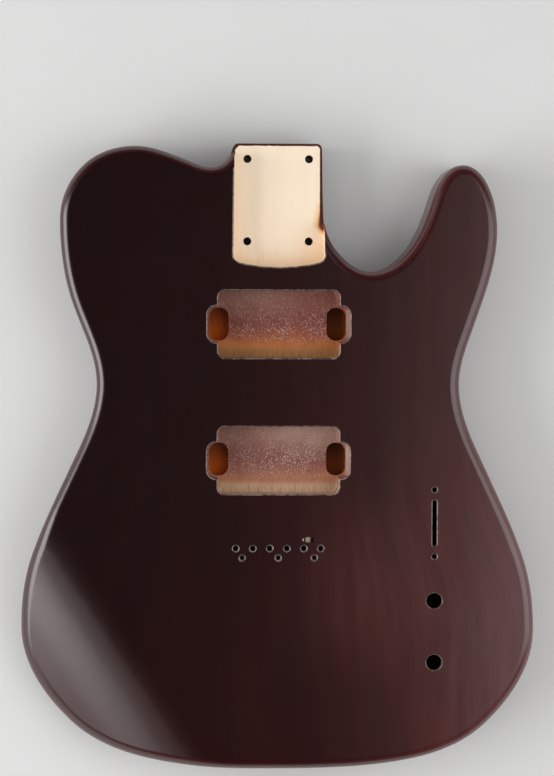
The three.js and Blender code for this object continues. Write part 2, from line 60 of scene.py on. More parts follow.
def closeMesh():
    bpy.ops.object.mode_set(mode="OBJECT")


def selectAll():
    bpy.ops.mesh.select_all(action="SELECT")


def facesOut():
    selectAll()
    bpy.ops.mesh.normals_make_consistent(inside=False)


def closeSolid():
    facesOut()
    closeMesh()


def pick(kind, test):
    # only the verts, edges or faces that pass the test are left selected
    piece = bpy.context.edit_object
    mesh = bmesh.from_edit_mesh(piece.data)
    bpy.ops.mesh.select_all(action="DESELECT")
    bpy.context.tool_settings.mesh_select_mode = [kind == name for name in ("verts", "edges", "faces")]
    for part in getattr(mesh, kind):
        if test(part):
            part.select_set(True)
    bmesh.update_edit_mesh(piece.data)


def isLevel(edge):
    return abs(edge.verts[0].co.z - edge.verts[1].co.z) < tiny


def roundEdges(test, width, segments, material=-1):
    pick("edges", test)
    bpy.ops.mesh.bevel(
        offset=width * mm, segments=segments, affect="EDGES", clamp_overlap=False, material=material
    )


def sliceAt(place, away, **more):
    # the place is in metres
    selectAll()
    bpy.ops.mesh.bisect(plane_co=place, plane_no=away, threshold=tiny, **more)


def applyPlace(piece):
    workOn(piece)
    bpy.ops.object.transform_apply(location=True, rotation=True, scale=True)
    return piece


def started(name, adder, **values):
    # a new piece from one of Blender's own shapes, with nothing else selected
    bpy.ops.object.select_all(action="DESELECT")
    adder(**values)
    piece = bpy.context.object
    piece.name = name
    return piece


def giveMaterial(piece, material):
    piece.data.materials.clear()
    piece.data.materials.append(material)
    return piece


def copied(piece, name, shift=(0, 0, 0)):
    workOn(piece)
    bpy.ops.object.duplicate()
    copy = bpy.context.object
    copy.name = name
    copy.location = Vector(shift) * mm
    return applyPlace(copy)


def repeated(piece, shifts):
    return [piece] + [copied(piece, piece.name, shift) for shift in shifts]


def joined(pieces):
    workOn(pieces[0])
    for piece in pieces:
        piece.select_set(True)
    bpy.ops.object.join()
    return bpy.context.object


def modified(piece, kind, **settings):
    workOn(piece)
    bpy.ops.object.modifier_add(type=kind)
    modifier = piece.modifiers[-1]
    for key, value in settings.items():
        setattr(modifier, key, value)
    bpy.ops.object.modifier_apply(modifier=modifier.name)


def combine(piece, tool, operation="DIFFERENCE"):
    settings = {"object": tool, "operation": operation, "solver": "MANIFOLD", "material_mode": "TRANSFER"}
    modified(piece, "BOOLEAN", **settings)
    bpy.data.objects.remove(tool)
    return piece


# Shapes that several pieces share

def outlineLoop(name, knots, steps):
    # a knot is x, y, heading on arrival and on leaving; a heading of None runs straight to its neighbour
    loop = started(name, bpy.ops.curve.primitive_bezier_circle_add, location=(0, 0, 0))
    spline = loop.data.splines[0]
    spline.bezier_points.add(len(knots) - len(spline.bezier_points))
    for dot, (x, y, *_) in zip(spline.bezier_points, knots):
        dot.handle_left_type = dot.handle_right_type = "FREE"
        dot.co = Vector((x, y, 0)) * mm
    for i, (x, y, _, leave) in enumerate(knots):
        nextX, nextY, arrive, _ = knots[(i + 1) % len(knots)]
        straight = degrees(atan2(nextY - y, nextX - x))
        start = radians(straight if leave is None else leave)
        end = radians(straight if arrive is None else arrive)
        turn = atan2(sin(end - start), cos(end - start))
        handle = hypot(nextX - x, nextY - y) / (3 * cos(turn / 4) ** 2)
        here = spline.bezier_points[i]
        there = spline.bezier_points[(i + 1) % len(knots)]
        here.handle_right = here.co + Vector((cos(start), sin(start), 0)) * handle * mm
        there.handle_left = there.co - Vector((cos(end), sin(end), 0)) * handle * mm
    loop.data.dimensions = "3D"
    loop.data.resolution_u = spline.resolution_u = steps
    bpy.ops.object.convert(target="MESH")
    return loop


def raised(name, knots, low, high, steps=8):
    plate = outlineLoop(name, knots, steps)
    openMesh(plate)
    selectAll()
    bpy.ops.mesh.remove_doubles(threshold=tiny)
    bpy.ops.mesh.edge_face_add()
    bpy.ops.transform.translate(value=(0, 0, low * mm))
    bpy.ops.mesh.extrude_region_move(TRANSFORM_OT_translate={"value": (0, 0, (high - low) * mm)})
    closeSolid()
    return plate


def plainBlock(name, x, y, width, length, low, high):
    middle = (x * mm, y * mm, (low + high) / 2 * mm)
    size = (width * mm, length * mm, (high - low) * mm)
    return applyPlace(started(name, bpy.ops.mesh.primitive_cube_add, size=1, location=middle, scale=size))


def roundBlock(name, x, y, width, length, corner, low, high, floorRound=0):
    block = plainBlock(name, x, y, width, length, low, high)
    openMesh(block)
    roundEdges(lambda edge: not isLevel(edge), corner, 10)
    if floorRound:
        roundEdges(lambda edge: all(abs(v.co.z - low * mm) < tiny for v in edge.verts), floorRound, 4)
    closeSolid()
    return block


def turned(name, x, y, rings, sides=32):
    # rings are radius and height, from one end to the other
    radius, height = rings[0]
    piece = applyPlace(started(
        name, bpy.ops.mesh.primitive_circle_add,
        vertices=sides, radius=radius * mm, fill_type="NGON", location=(x * mm, y * mm, height * mm),
    ))
    openMesh(piece)
    selectAll()
    for nextRadius, nextHeight in rings[1:]:
        bpy.ops.mesh.extrude_region_move(TRANSFORM_OT_translate={"value": (0, 0, (nextHeight - height) * mm)})
        if nextRadius != radius:
            bpy.ops.transform.resize(
                value=(nextRadius / radius, nextRadius / radius, 1),
                center_override=(x * mm, y * mm, nextHeight * mm),
            )
        radius, height = nextRadius, nextHeight
    closeSolid()
    return piece


def drilled(name, start, end, diameter, sides=32):
    run = Vector(end) - Vector(start)
    return applyPlace(started(
        name, bpy.ops.mesh.primitive_cylinder_add,
        vertices=sides, radius=diameter / 2 * mm, depth=run.length * mm,
        location=(Vector(start) + run / 2) * mm, rotation=run.to_track_quat("Z", "Y").to_euler(),
    ))


# Shader maths

def bothWays(operation):
    # an operator and its reflected form
    def plain(self, other):
        return self.nodes.maths(operation, self, other)

    def reflected(self, other):
        return self.nodes.maths(operation, other, self)

    return plain, reflected


class Signal:
    # a socket that can be added, subtracted, multiplied and divided, on either side
    def __init__(self, nodes, socket):
        self.nodes = nodes
        self.socket = socket

    __add__, __radd__ = bothWays("ADD")
    __sub__, __rsub__ = bothWays("SUBTRACT")
    __mul__, __rmul__ = bothWays("MULTIPLY")
    __truediv__, __rtruediv__ = bothWays("DIVIDE")

    def __abs__(self):
        return self.nodes.maths("ABSOLUTE", self)


class Nodes:
    # a node tree and the ways to add to it
    def __init__(self, tree):
        self.tree = tree

    def add(self, kind, settings=None, values=None, output=0):
        node = self.tree.nodes.new("ShaderNode" + kind)
        for key, value in (settings or {}).items():
            if key == "stops":
                while len(node.color_ramp.elements) < len(value):
                    node.color_ramp.elements.new(1)
                for stop, (place, colour) in zip(node.color_ramp.elements, value):
                    stop.position = place
                    stop.color = (*colour, 1)
            else:
                setattr(node, key, value)
        for key, value in (values or {}).items():
            if isinstance(value, Signal):
                self.tree.links.new(value.socket, node.inputs[key])
            else:
                node.inputs[key].default_value = value
        return node if output is None else Signal(self, node.outputs[output])

    def maths(self, operation, first, second=0):
        return self.add("Math", {"operation": operation}, {0: first, 1: second})

    def vectorMaths(self, operation, first, second, output=0):
        return self.add("VectorMath", {"operation": operation}, {0: first, 1: second}, output)

    def scaled(self, vector, factor):
        return self.add("VectorMath", {"operation": "SCALE"}, {0: vector, "Scale": factor})

    def vector(self, x, y, z):
        return self.add("CombineXYZ", values={0: x, 1: y, 2: z})

    def split(self, vector):
        parts = self.add("SeparateXYZ", values={0: vector}, output=None)
        return [Signal(self, parts.outputs[i]) for i in range(3)]

    def noise(self, vector, detail=2, rough=0.5):
        values = {"Vector": vector, "Scale": 1, "Detail": detail, "Roughness": rough}
        return self.add("TexNoise", values=values, output="Fac")

    def ease(self, value, low, high):
        # 0 at low, 1 at high, eased between them
        limits = {"Value": value, "From Min": low, "From Max": high, "To Min": 0, "To Max": 1}
        return self.add("MapRange", {"interpolation_type": "SMOOTHSTEP"}, limits)

    def mix(self, mask, first, second):
        first, second = [part if isinstance(part, Signal) else (*part, 1) for part in (first, second)]
        return self.add("Mix", {"data_type": "RGBA"}, {0: mask, 6: first, 7: second}, 2)

    def layered(self, colour, *coats):
        # each coat is a mask and a colour, laid over what is there
        for mask, tone in coats:
            colour = self.mix(mask, colour, tone)
        return colour


class Finish(Nodes):
    # one material and the nodes that make it
    def __init__(self, name, roughness, metallic=0, ior=1.5, gloss=0.5):
        self.material = bpy.data.materials.new(name)
        self.material.use_nodes = True
        super().__init__(self.material.node_tree)
        self.shader = self.tree.nodes["Principled BSDF"]
        plain = {"Roughness": roughness, "Metallic": metallic, "IOR": ior, "Specular IOR Level": gloss}
        for key, value in plain.items():
            self.shader.inputs[key].default_value = value
        self.place = self.scaled(self.add("TexCoord", output="Object"), 1 / mm)
        self.x, self.y, self.z = self.split(self.place)

    def facing(self):
        return self.split(self.add("TexCoord", output="Normal"))

    def grain(self, x, y, z, detail=2, rough=0.5):
        # noise that is finer along an axis with a larger number
        return self.noise(self.vectorMaths("MULTIPLY", self.place, (x, y, z)), detail, rough)

    def bump(self, height, depth, strength):
        # depth is in millimetres
        return self.add("Bump", values={"Height": height, "Distance": depth * mm, "Strength": strength})

    def link(self, **values):
        names = {"colour": "Base Color", "roughness": "Roughness", "normal": "Normal"}
        for key, value in values.items():
            self.tree.links.new(value.socket, self.shader.inputs[names[key]])
        return self.material


stain = {
    # from the darkest stain to the reddest
    "shades": [
        (0, (0.0122, 0.0014, 0.0013)), (0.08, (0.0195, 0.0014, 0.0013)), (0.23, (0.0315, 0.0041, 0.004)),
        (0.54, (0.064, 0.012, 0.0108)), (0.77, (0.088, 0.0265, 0.0275)), (1, (0.112, 0.039, 0.0415)),
    ],
    "brown": (0.84, 1.22, 1.18),
    "endGrain": (0.06, 0.011, 0.0062),
    "turnedTint": (0.024, 0.003, 0.0034),
    "line": 0.9,
    "roughness": 0.245,
    "ior": 1.65,
    "gloss": 0.62,
    # pale rubbed lacquer, also standing as a painted highlight on edges
    "rubbed": (0.2, 0.145, 0.135),
    # how the red grows across the body, partly the stain's own and partly painted light from the treble side;
    # then a painted pool of light and a painted shade
    "slant": 0.207,
    "wander": 50,
    "start": 117,
    "reach": 334,
    "paintedLightAt": (56, -62, 0),
    "paintedLightWidth": 62,
    "shadowX": 45,
}


def stainedWood(name):
    # satin burgundy lacquer over flat-sawn wood, redder towards the treble side of the lower bout, partly its
    # own colour and partly painted light, with a painted pool of light and a painted shade
    wood = Finish(name, stain["roughness"], ior=stain["ior"], gloss=stain["gloss"])
    x, y, z, ease = wood.x, wood.y, wood.z, wood.ease
    fan = 1 + 0.25 * ease(y, -10, -105)
    across = x / fan + 7 * wood.grain(0.012, 0.006, 0.012, 1)

    def sawn(fineX, fineY, fineZ, detail, rough):
        return wood.noise(wood.vector(across * fineX, y * fineY, z * fineZ), detail, rough)

    rings = sawn(0.075, 0.0034, 0.02, 1.5, 0.55)
    streaks = sawn(0.15, 0.014, 0.08, 3, 0.6)
    fibre = sawn(1.3, 0.03, 0.6, 3, 0.6)
    pores = ease(wood.grain(2.6, 0.16, 1.2, 1), 0.62, 0.74)
    cloud = wood.grain(0.013, 0.009, 0.013, 3)
    darkLine = ease(rings, 0.52, 0.6) * (1 - ease(rings, 0.6, 0.72))
    # the red rises towards the treble side: partly the stain's own colour, partly painted light from that
    # side
    reach = x - stain["slant"] * y + stain["wander"] * cloud + stain["start"]
    reach = wood.maths("MAXIMUM", reach / stain["reach"], 0)
    # a painted pool of light over the treble side of the lower bout
    glow = wood.vectorMaths("DISTANCE", wood.vector(x, y * 0.8, 0), stain["paintedLightAt"], "Value")
    strength = wood.maths("POWER", reach, 2.8) + 0.18 * ease(glow, stain["paintedLightWidth"], 0)
    # painted shade low on the body, towards the tail
    shadow = 0.11 * ease(y, -100, -155)
    strength = strength - shadow * ease(abs(x - stain["shadowX"]), 66, 26)
    tone = (0.8 + 0.4 * streaks) * (0.92 + 0.16 * fibre) * (1 - (1 - stain["line"]) * darkLine)
    colour = wood.add("ValToRGB", {"stops": stain["shades"]}, {0: strength * (0.75 + 0.5 * streaks)})
    colour = wood.scaled(colour, tone * (1 - 0.15 * pores))
    browner = wood.noise(wood.vector(across * 0.05, y * 0.013, 7), 3, 0.6)
    browner = ease(browner, 0.44, 0.68) * (0.8 - 0.6 * ease(strength, 0.45, 0.85))
    colour = wood.mix(browner, colour, wood.vectorMaths("MULTIPLY", colour, stain["brown"]))
    # redder wherever a face turns away from the front
    _, alongY, alongZ = wood.facing()
    tilted = ease(abs(alongZ), 0.999, 0.9)
    colour = wood.vectorMaths("ADD", colour, wood.scaled(stain["turnedTint"], tilted))
    endGrain = wood.scaled(stain["endGrain"], 0.8 + 0.4 * fibre)
    colour = wood.mix(ease(abs(alongY), 0.3, 1) * 0.55, colour, endGrain)
    haze = wood.grain(0.05, 0.03, 0.05, 3)
    roughness = stain["roughness"] - 0.015 + 0.03 * haze + 0.02 * pores
    peel = wood.grain(0.22, 0.16, 0.22)
    bump = wood.bump(peel * 0.5 + fibre * 0.25 - pores * 0.35, 0.02, 0.4)
    return wood.link(colour=colour, roughness=roughness, normal=bump)


def rubbedLacquerAndHighlight(name):
    # lacquer rubbed thin where an edge was sanded, so that the wood shows through; its pale tone is also a
    # painted highlight along the edge, and faces turned towards the tail get painted shade
    wood = Finish(name, 0.3, ior=stain["ior"], gloss=stain["gloss"])
    patches = wood.grain(0.32, 0.32, 0.5, 3, 0.6)
    thin = wood.ease(patches, 0.36, 0.66)
    dark = wood.scaled(stain["rubbed"], 0.3)
    _, alongY, _ = wood.facing()
    colour = wood.layered(
        dark,
        (thin, wood.scaled(stain["rubbed"], 1.15)),
        # painted shade on faces turned towards the tail, such as the neck-side arc of each rim
        (wood.ease(alongY, -0.15, -0.6) * 0.85, dark),
    )
    fibre = wood.grain(1.3, 0.2, 0.6)
    return wood.link(
        colour=wood.scaled(colour, 0.75 + 0.5 * fibre),
        roughness=0.24 + 0.14 * thin,
        normal=wood.bump(patches + 0.4 * fibre, 0.03, 0.4),
    )


bare = {
    "pale": (0.985, 0.825, 0.635),
    "honey": (0.9, 0.62, 0.38),
    "grey": (0.52, 0.43, 0.31),
    "smear": (0.88, 0.43, 0.12),
    "smearEdge": (0.2, 0.04, 0.006),
    "edge": (0.072, 0.011, 0.0042),
    "inside": (0.6, 0.4, 0.23),
    # the walls of the drilled holes, darkened as painted shade
    "hole": (0.04, 0.02, 0.008),
}


def bareWood(name, tone):
    # unfinished wood inside the body; in the drilled holes it is darkened as painted shade
    wood = Finish(name, 0.72)
    fibre = wood.grain(1.3, 0.03, 1.1, 3, 0.6)
    bands = wood.ease(wood.grain(0.16, 0.008, 0.1), 0.3, 0.8)
    colour = wood.mix(bands * 0.6, tone, [0.74 * part for part in tone])
    colour = wood.scaled(colour, 0.78 + 0.34 * fibre)
    return wood.link(colour=colour, roughness=0.66 + 0.12 * fibre, normal=wood.bump(fibre, 0.08, 0.5))


def groundHoleLightAndShade(name, x):
    # the slanting hole, painted in bands of light and shade over bare wood: pale at its mouth, painted shade
    # further down, a lit band, more painted shade, and a painted highlight on the far end
    wood = Finish(name, 0.6)
    fibre = wood.grain(0.8, 1.4, 1, 3, 0.6)
    along = wood.x - x + 1.2 * fibre
    colour = wood.layered(
        (0.62, 0.54, 0.5),
        (wood.ease(along, -3.4, -2.3), (0.012, 0.005, 0.004)),
        (wood.ease(along, -1.7, -1), (0.36, 0.29, 0.22)),
        (wood.ease(along, 0.8, 2), (0.02, 0.009, 0.006)),
        (wood.ease(along, 3.9, 4.3), (0.34, 0.28, 0.24)),
    )
    return wood.link(colour=colour, roughness=0.5 + 0.2 * fibre, normal=wood.bump(fibre, 0.15, 0.6))


def pocketWood(name, pocket):
    # the masked floor and walls of the neck pocket, stained where the masking tape ended, with painted shade
    # along the bass wall
    wood = Finish(name, 0.6)
    x, y, ease = wood.x, wood.y, wood.ease
    heelY, end = pocket["heelY"], pocket["end"]
    fibre = wood.grain(1.1, 0.022, 1, 3, 0.6)
    bands = ease(wood.grain(0.13, 0.012, 0.05), 0.35, 0.75)
    colour = wood.mix(bands * 0.12, bare["pale"], bare["honey"])
    colour = wood.scaled(colour, 0.96 + 0.07 * fibre)
    colour = wood.scaled(colour, 1 - 0.045 * ease(x, -12, 16))
    heel = 1 - ease(y, heelY + 3, heelY + 22)
    blotch = wood.noise(wood.vector(x * 0.22, y * 0.05, 3), 3, 0.6)
    towardsBass = 1 - 0.7 * ease(x, -14, 4)
    foot = 1 - ease(y, heelY - 1, heelY + 11)
    # painted shade of the bass wall: a honey tint along it
    bassWallShade = 1 - ease(x, -28, -20)
    rightFoot = ease(x, 6, 20) * (1 - ease(y, 128, 146))
    # a brown smear beside the end of the treble wall
    near = ease(y, 135, 143) * (1 - ease(y, 143, 167))
    inward = x + 5.5 * near + 2.5 * blotch
    glow = ease(inward, 27, 31.8) * ease(near, 0, 0.4)
    rubbed = ease(inward, 30.3, 32.6) * ease(near, 0.2, 0.8)
    # stain past the ragged edge of the tape
    ragged = 0.6 * wood.grain(0.45, 0.45, 0.45) - 0.3
    corner = abs(x) + y + ragged
    cornerEnd = pocket["mouthWidth"] / 2 + end
    pastWall = ease(y, end - 51, end - 48.5)
    pastBassWall = ease(y, end - 7.2, end - 6.6)
    taped = ease(corner, cornerEnd - 5, cornerEnd - 4.2)
    for edge in (
        ease(y + ragged, end - 1.7, end - 1.2),
        pastWall * ease(x + ragged, 25.5, 26),
        pastBassWall * ease(ragged - x, 26.4, 26.9),
    ):
        taped = wood.maths("MAXIMUM", taped, edge)
    colour = wood.layered(
        colour,
        (heel * ease(blotch, 0.46, 0.76) * towardsBass * 0.4, bare["grey"]),
        (foot * 0.3, bare["honey"]),
        (bassWallShade * 0.18, bare["honey"]),
        (rightFoot * 0.34, bare["honey"]),
        (glow * 0.85, bare["smear"]),
        (rubbed, bare["smearEdge"]),
        (taped, bare["edge"]),
    )
    return wood.link(colour=colour, roughness=0.55 - 0.2 * taped, normal=wood.bump(fibre, 0.05, 0.4))


routeTones = {
    # neck route, bridge route
    "dustySide": (-1, 1),
    "top": ((0.25, 0.124, 0.096), (0.36, 0.222, 0.178)),
    "middle": ((0.18, 0.046, 0.034), (0.19, 0.06, 0.05)),
    "rust": ((0.33, 0.1, 0.05), (0.33, 0.135, 0.09)),
    "low": ((0.52, 0.185, 0.052), (0.46, 0.195, 0.105)),
    "ear": ((0.4, 0.235, 0.175), (0.5, 0.33, 0.25)),
    "band": ((0.4, 0.215, 0.09), (0.66, 0.465, 0.315)),
    "teeth": ((0.17, 0.075, 0.03), (0.32, 0.2, 0.11)),
    "fleck": ((0.86, 0.74, 0.7), (0.9, 0.8, 0.74)),
}
# the same bare wood in both legs: lit in the bass leg, in painted shade in the treble leg
legTones = {"bass": (0.37, 0.072, 0.001), "treble": (0.15, 0.03, 0.001)}


def routeWood(name, which, centreY, legTop):
    # a routed floor dusted with overspray from above, bare wood below, with painted light and shade in the
    # deep legs
    wood = Finish(name, 0.6, gloss=0.2)
    tones = {key: pair[which] for key, pair in routeTones.items()}
    x, y, ease = wood.x, wood.y, wood.ease
    along = y - centreY
    wander = 12 * wood.grain(0.08, 0.07, 0.08, 5, 0.7) - 6
    place = along + wander
    fibre = wood.grain(1.4, 0.14, 0.3, 4, 0.65)
    cloud = wood.grain(0.1, 0.15, 0.1, 4, 0.65)
    frost = wood.grain(0.9, 0.55, 0.9, 3, 0.7)
    dusty = 0.4 + 0.6 * ease(x * tones["dustySide"] + 16 * cloud, -12, 20)
    sides = ease(abs(x) + 5 * cloud, 34, 42)
    # the band of torn grain at the foot
    comb = wood.noise(wood.vector(x, y * 0.12, 0), 3, 0.75)
    band = 1 - ease(along + 0.25 * wander, -17.4, -12.8)
    teeth = ease(comb, 0.46, 0.68) * (1 - ease(along, -16.6, -14))
    streaked = wood.mix(teeth * 0.7, tones["band"], tones["teeth"])
    # torn flecks, thickest in a belt across the middle
    cells = {"Vector": wood.vector(x * 1.3, y * 0.95, 0), "Scale": 1}
    torn = wood.add("TexVoronoi", {"feature": "F1"}, cells, None)
    lot = wood.add("SeparateColor", values={0: Signal(wood, torn.outputs["Color"])})
    crowd = ease(wood.grain(0.1, 0.12, 0.09), 0.32, 0.54)
    belt = 1 - wood.maths("MINIMUM", abs(place + 3) / 15, 1)
    share = 0.28 + 0.7 * belt * crowd * (0.45 + 0.55 * ease(x, -26, 4))
    speck = ease(Signal(wood, torn.outputs["Distance"]), 0.52, 0.08)
    speck = speck * wood.maths("LESS_THAN", lot, share)
    flecks = speck * (0.25 + 1.1 * lot) * ease(place, -14, -9)
    ear = ease(x, 42.2, 42.9) * (1 - ease(along, 9, 11))
    colour = wood.layered(
        tones["middle"],
        (ease(place + 18 * cloud, 6, 26) * dusty, tones["top"]),
        (ease(frost, 0.46, 0.7) * 0.55, tones["top"]),
        (sides * 0.5, tones["rust"]),
        (1 - ease(place, -11, 2), tones["rust"]),
        (1 - ease(place, -15.5, -6.5), tones["low"]),
        (band * 0.85, streaked),
        (flecks * 0.66, tones["fleck"]),
        (ear * 0.8, tones["ear"]),
    )
    colour = wood.scaled(colour, 0.78 + 0.44 * fibre)
    deep = 1 - ease(wood.z, legTop - 1.2, legTop - 0.2)
    # painted light and shade in the legs, lighter towards their tail end
    leg = wood.mix(ease(x, -5, 5), legTones["bass"], legTones["treble"])
    shade = 1.35 - 0.75 * ease(along, -8, 9)
    colour = wood.mix(deep, colour, wood.scaled(leg, shade * (0.8 + 0.4 * fibre)))
    height = fibre * 0.5 + flecks
    return wood.link(colour=colour, roughness=0.66 - 0.14 * flecks, normal=wood.bump(height, 0.12, 0.5))


def moulded(name, colour):
    # black moulded plastic with a fine leather-like texture
    plastic = Finish(name, 0.42)
    cells = {"Vector": plastic.place, "Scale": 1.6}
    pebbles = plastic.add("TexVoronoi", {"feature": "SMOOTH_F1"}, cells)
    wear = plastic.grain(0.08, 0.08, 0.08, 4, 0.6)
    return plastic.link(
        colour=plastic.scaled(colour, 0.8 + 0.5 * wear),
        roughness=0.38 + 0.14 * wear,
        normal=plastic.bump(pebbles + 0.4 * wear, 0.05, 0.6),
    )


def platedSteel(name, colour):
    # bright plated steel with faint turning marks
    steel = Finish(name, 0.24, 1)
    marks = steel.grain(3, 3, 9, 3, 0.7)
    dull = steel.grain(0.7, 0.7, 0.7)
    return steel.link(
        colour=steel.scaled(colour, 0.85 + 0.25 * dull),
        roughness=0.18 + 0.2 * marks,
        normal=steel.bump(marks, 0.01, 0.4),
    )


# The body, before it is cut into its boards

body = {
    "width": 317.2,
    "length": 386,
    "thickness": 44.45,
    "edgeRound": 6.35,
    "edgeSteps": 14,
    "tongueBass": 27.9,
    "tongueTreble": 27,
    "tongueCorner": 3.2,
    "tongueSpare": 20,
    "tongueWaste": 80,  # wider than the tongue
    "frontSeam": 38.1,
    "coreSeam": -4.3,
    # share across, share along, heading
    "lowerBout": [
        (0, -1, 0), (0.504, -0.973, 10.5), (0.811, -0.858, 43.5), (1, -0.556, 90),
        (0.957, -0.321, 109), (0.815, -0.05, 115), (0.704, 0.231, 90),
    ],
    "horn": [
        (0.717, 0.428, 71), (0.82, 0.734, 92), (0.771, 0.874, 118), (0.658, 0.932, 180), (0.526, 0.845, 251),
        (0.461, 0.723, 244.5), (0.227, 0.591, 180), (0.064, 0.659, 128.5), (0.008, 0.76, 93),
    ],
    "upperBout": [
        (0.039, 0.94, 223), (0.108, 0.923, 180), (0.245, 0.951, 160), (0.46, 0.988, 180),
        (0.708, 0.924, 225), (0.814, 0.754, 270), (0.76, 0.5, 288),
    ],
}
forearm = {
    "start": (-0.873, -0.173),
    "end": (-0.24, -0.953),
    "easeIn": 4,
    # radius and the slope at its end
    "rolls": [(70, 17), (250, 26)],
    "strips": 12,
}
halfWidth = body["width"] / 2
halfLength = body["length"] / 2
frontZ = body["thickness"]
frontTop = frontZ + past

burgundyFront = stainedWood("burgundyFront")
burgundyCore = stainedWood("burgundyCore")
rubbedEdgeAndHighlight = rubbedLacquerAndHighlight("rubbedEdgeAndHighlight")
insideWood = bareWood("insideWood", bare["inside"])
shadedHoleWood = bareWood("shadedHoleWood", bare["hole"])


def bodyKnots():
    def placed(rows, side, reach):
        return [(side * (reach + a * (halfWidth - reach)), b * halfLength, h, h) for a, b, h in rows]

    treble = placed(body["lowerBout"], 1, 0)
    bass = [(x, y, -h, -h) for x, y, h, _ in placed(body["lowerBout"], -1, 0)[1:]][::-1]
    right, left, spare = body["tongueTreble"], -body["tongueBass"], halfLength + body["tongueSpare"]
    corners = [(right, halfLength, None, None), (right, spare, None, None)]
    corners += [(left, spare, None, None), (left, halfLength, None, -90)]
    horn = placed(body["horn"], 1, body["tongueTreble"])
    return treble + horn + corners + placed(body["upperBout"], -1, body["tongueBass"]) + bass


def forearmFall():
    # start of the contour and the direction in which the face falls away
    start, end = [Vector((a * halfWidth, b * halfLength)) for a, b in (forearm["start"], forearm["end"])]
    along = (end - start).normalized()
    return start, Vector((along.y, -along.x))


def forearmRolls():
    # place, drop and slope where each roll begins, and where the last one ends
    place, drop, slope = -forearm["easeIn"], 0, 0
    marks = []
    for radius, end in forearm["rolls"]:
        marks.append((place, drop, slope, radius))
        end = radians(end)
        place += radius * (sin(end) - sin(slope))
        drop += radius * (cos(slope) - cos(end))
        slope = end
    return marks + [(place, drop, slope, None)]


def forearmDrop(distance):
    fallen = 0
    for place, drop, slope, radius in forearmRolls():
        if distance <= place:
            break
        if radius is None:
            fallen = drop + (distance - place) * tan(slope)
        else:
            turn = asin(min(1, sin(slope) + (distance - place) / radius))
            fallen = drop + radius * (cos(slope) - cos(turn))
    return fallen


def shapedBlank():
    blank = raised("blank", bodyKnots(), 0, frontZ, 12)
    openMesh(blank)
    roundEdges(isLevel, body["edgeRound"], body["edgeSteps"])
    start, fall = forearmFall()
    marks = forearmRolls()
    places = [marks[0][0]]
    for (place, _, slope, radius), (_, _, end, _) in zip(marks, marks[1:]):
        for i in range(1, forearm["strips"] + 1):
            turn = slope + (end - slope) * i / forearm["strips"]
            places.append(place + radius * (sin(turn) - sin(slope)))
    for place in places:
        line = start + fall * place
        sliceAt((line.x * mm, line.y * mm, 0), (fall.x, fall.y, 0))
    mesh = bmesh.from_edit_mesh(blank.data)
    for vertex in mesh.verts:
        if vertex.co.z > frontZ / 2 * mm:
            vertex.co.z -= forearmDrop((vertex.co.xy / mm - start).dot(fall)) * mm
    bmesh.update_edit_mesh(blank.data)
    closeMesh()
    return giveMaterial(blank, burgundyFront)


def tongueEndWaste():
    # the tongue is made too long and cut back, so that its round-overs meet cleanly at the corners
    bite, width = body["edgeRound"], body["tongueWaste"]
    length = bite + 2 * body["tongueSpare"]
    waste = plainBlock("waste", 0, halfLength - bite + length / 2, width, length, -past, frontTop)
    keep = plainBlock("keep", 0, halfLength / 2, 1.5 * width, halfLength, 0, frontZ)
    openMesh(keep)
    roundEdges(
        lambda edge: isLevel(edge) and all(v.co.y > 0.1 * mm for v in edge.verts), bite, body["edgeSteps"]
    )
    closeSolid()
    return giveMaterial(combine(waste, keep), burgundyFront)


def tongueCornerWaste(side, reach):
    radius = body["tongueCorner"]
    x = side * (reach - radius)
    y = halfLength - radius
    waste = plainBlock("waste", x + side * past, y + past, 2 * past, 2 * past, -past, frontTop)
    post = turned("post", x, y, [(radius, -2 * past), (radius, frontZ + 2 * past)], 48)
    return giveMaterial(combine(waste, post), burgundyFront)


blank = combine(shapedBlank(), tongueEndWaste())
print("blank and forearm contour shaped:", len(blank.data.vertices), "vertices")
for side, reach in ((1, body["tongueTreble"]), (-1, body["tongueBass"])):
    combine(blank, tongueCornerWaste(side, reach))


# Neck pocket and its bolt holes

pocket = {
    "end": halfLength,
    "length": 76.4,
    "depth": 15.875,
    "heelWidth": 56.4,
    "mouthWidth": 55,
    "heelBow": 2.6,
    "corner": 4.6,
    "bassWallShort": 6.5,
    "trebleWallShort": 50,
    "clearing": 16,
    "boltsAcross": 38.1,
    "boltsAlong": 50.8,
    "boltsFromEnd": 9.5,
    "boltHole": 5,
}
pocket["heelY"] = halfLength - pocket["length"]


def pocketCutter():
    heelHalf = pocket["heelWidth"] / 2
    heelY = pocket["heelY"]
    lowY = heelY + pocket["heelBow"]
    wallStart = lowY + pocket["corner"]
    cornerX = heelHalf - pocket["corner"]
    bow = degrees(atan2(2 * pocket["heelBow"], cornerX))
    taper = (pocket["mouthWidth"] - pocket["heelWidth"]) / 2 / pocket["length"]

    def wall(y):
        return heelHalf + taper * (y - heelY)

    bassEnd = halfLength - pocket["bassWallShort"]
    trebleEnd = halfLength - pocket["trebleWallShort"]
    clear = body["tongueBass"] + pocket["clearing"]
    knots = [
        (0, heelY, 0, 0), (cornerX, lowY, bow, bow), (wall(wallStart), wallStart, 90, None),
        (wall(trebleEnd), trebleEnd, None, None), (clear, trebleEnd, None, None),
        (clear, halfLength + past, None, None), (-clear, halfLength + past, None, None),
        (-clear, bassEnd, None, None), (-wall(bassEnd), bassEnd, None, None),
        (-wall(wallStart), wallStart, None, -90), (-cornerX, lowY, -bow, -bow),
    ]
    cutter = raised("pocketCutter", knots, frontZ - pocket["depth"], frontTop, 10)
    return giveMaterial(cutter, pocketWood("pocketWood", pocket))


combine(blank, pocketCutter())
print("neck pocket cut")


# Pickup routes: one is modelled, the other is its copy

